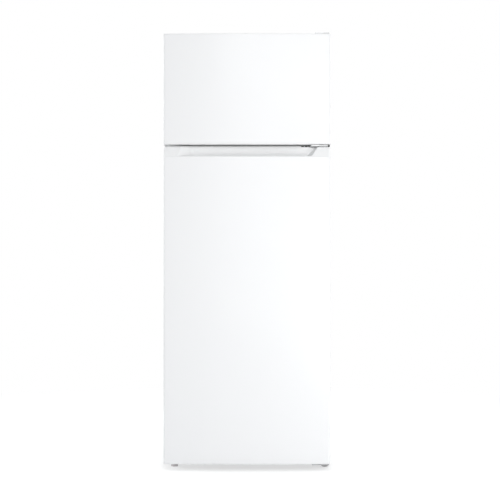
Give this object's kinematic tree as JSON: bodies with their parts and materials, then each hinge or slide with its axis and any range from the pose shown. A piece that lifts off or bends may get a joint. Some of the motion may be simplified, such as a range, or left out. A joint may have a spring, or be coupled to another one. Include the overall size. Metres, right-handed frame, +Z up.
{
  "type": "refrigerator",
  "caption": "White top-freezer refrigerator with two right-hinged doors, recessed grips, door bins, glass shelves, a crisper drawer and a wire condenser at the back.",
  "frame": {"origin": "on the floor, under the middle of the whole box", "axes": "+Z up, -Y out of the doors, +X towards the hinges"},
  "size_m": [0.545, 0.555, 1.434],
  "materials": {
    "white_paint": "gloss",
    "white_plastic": "satin",
    "liner_plastic": "satin",
    "foam": "matte",
    "seal_rubber": "satin",
    "clear_plastic": "gloss",
    "shelf_glass": "gloss",
    "white_wire": "satin",
    "plate_aluminium": "satin",
    "galvanised_steel": "satin",
    "hinge_paint": "satin",
    "black_paint": "satin",
    "black_plastic": "satin",
    "foot_plastic": "satin",
    "black_rubber": "matte",
    "copper": "satin"
  },
  "bodies": {
    "cabinet": {"back_panel": "galvanised_steel", "base_panel": "galvanised_steel", "bottom_hinge": "hinge_paint", "compressor": "black_paint", "compressor_grommets": "black_rubber", "compressor_tray": "galvanised_steel", "condenser_spacers": "black_plastic", "condenser_tube": "black_paint", "condenser_wires": "black_paint", "control_housing": "white_plastic", "crisper_cover": "shelf_glass", "drain_spout": "black_plastic", "drip_tray": "black_plastic", "filter_drier": "copper", "freezer_evaporator": "plate_aluminium", "freezer_liner": "liner_plastic", "freezer_shelf": "white_wire", "fridge_evaporator": "plate_aluminium", "fridge_liner": "liner_plastic", "glass_shelves": "shelf_glass", "hinge_screws": "galvanised_steel", "insulation": "foam", "lamp_bulb": "shelf_glass", "lamp_cover": "clear_plastic", "middle_hinge": "hinge_paint", "middle_rail": "white_paint", "refrigerant_pipes": "copper", "relay_cover": "black_plastic", "roller_axles": "galvanised_steel", "shelf_edges": "white_plastic", "side_panel_left": "white_paint", "side_panel_right": "white_paint", "top_hinge": "hinge_paint", "top_hinge_cover": "white_plastic", "top_panel": "white_paint"},
    "fridge_door": {"bottle_bin": "clear_plastic", "fridge_bin_lower": "clear_plastic", "fridge_bin_middle": "clear_plastic", "fridge_bin_upper": "clear_plastic", "fridge_door_bottom_cap": "white_plastic", "fridge_door_core": "foam", "fridge_door_gasket": "seal_rubber", "fridge_door_liner": "liner_plastic", "fridge_door_panel": "white_paint", "fridge_door_top_cap": "white_plastic"},
    "freezer_door": {"freezer_bin_lower": "clear_plastic", "freezer_bin_upper": "clear_plastic", "freezer_door_bottom_cap": "white_plastic", "freezer_door_core": "foam", "freezer_door_gasket": "seal_rubber", "freezer_door_liner": "liner_plastic", "freezer_door_panel": "white_paint", "freezer_door_top_cap": "white_plastic"},
    "crisper": {"crisper_drawer": "clear_plastic"},
    "light_switch": {"light_switch": "white_plastic"},
    "thermostat": {"thermostat_knob": "white_plastic"},
    "foot_left": {"front_foot_left": "foot_plastic"},
    "foot_right": {"front_foot_right": "foot_plastic"},
    "roller_left": {"rear_roller_left": "foot_plastic"},
    "roller_right": {"rear_roller_right": "foot_plastic"}
  },
  "joints": [
    {"name": "fridge_door_hinge", "type": "hinge", "parent": "cabinet", "child": "fridge_door", "pos_m": [0.254, -0.245, 0.03], "axis": [0, 0, 1], "range_deg": [0, 135]},
    {"name": "freezer_door_hinge", "type": "hinge", "parent": "cabinet", "child": "freezer_door", "pos_m": [0.254, -0.245, 1.07], "axis": [0, 0, 1], "range_deg": [0, 135]},
    {"name": "crisper_slide", "type": "slide", "parent": "cabinet", "child": "crisper", "axis": [0, -1, 0], "range_m": [0, 0.2]},
    {"name": "light_switch_travel", "type": "slide", "parent": "cabinet", "child": "light_switch", "axis": [0, -1, 0], "range_m": [0, 0.006]},
    {"name": "thermostat_turn", "type": "hinge", "parent": "cabinet", "child": "thermostat", "pos_m": [0.05, -0.13, 0.98], "axis": [0, 0, 1], "range_deg": [0, 280]},
    {"name": "foot_left_screw", "type": "hinge", "parent": "cabinet", "child": "foot_left", "pos_m": [-0.241, -0.19, 0.02], "axis": [0, 0, 1], "range_deg": [-180, 180]},
    {"name": "foot_right_screw", "type": "hinge", "parent": "cabinet", "child": "foot_right", "pos_m": [0.258, -0.19, 0.02], "axis": [0, 0, 1], "range_deg": [-180, 180]},
    {"name": "roller_left_spin", "type": "hinge", "parent": "cabinet", "child": "roller_left", "pos_m": [-0.225, 0.225, 0.02], "axis": [1, 0, 0], "continuous": true},
    {"name": "roller_right_spin", "type": "hinge", "parent": "cabinet", "child": "roller_right", "pos_m": [0.225, 0.225, 0.02], "axis": [1, 0, 0], "continuous": true}
  ],
  "couplings": [
    {"joint": "crisper_slide", "follows": "fridge_door_hinge", "m_per_rad": 0.084882},
    {"joint": "light_switch_travel", "follows": "fridge_door_hinge", "m_per_rad": 0.002545}
  ]
}
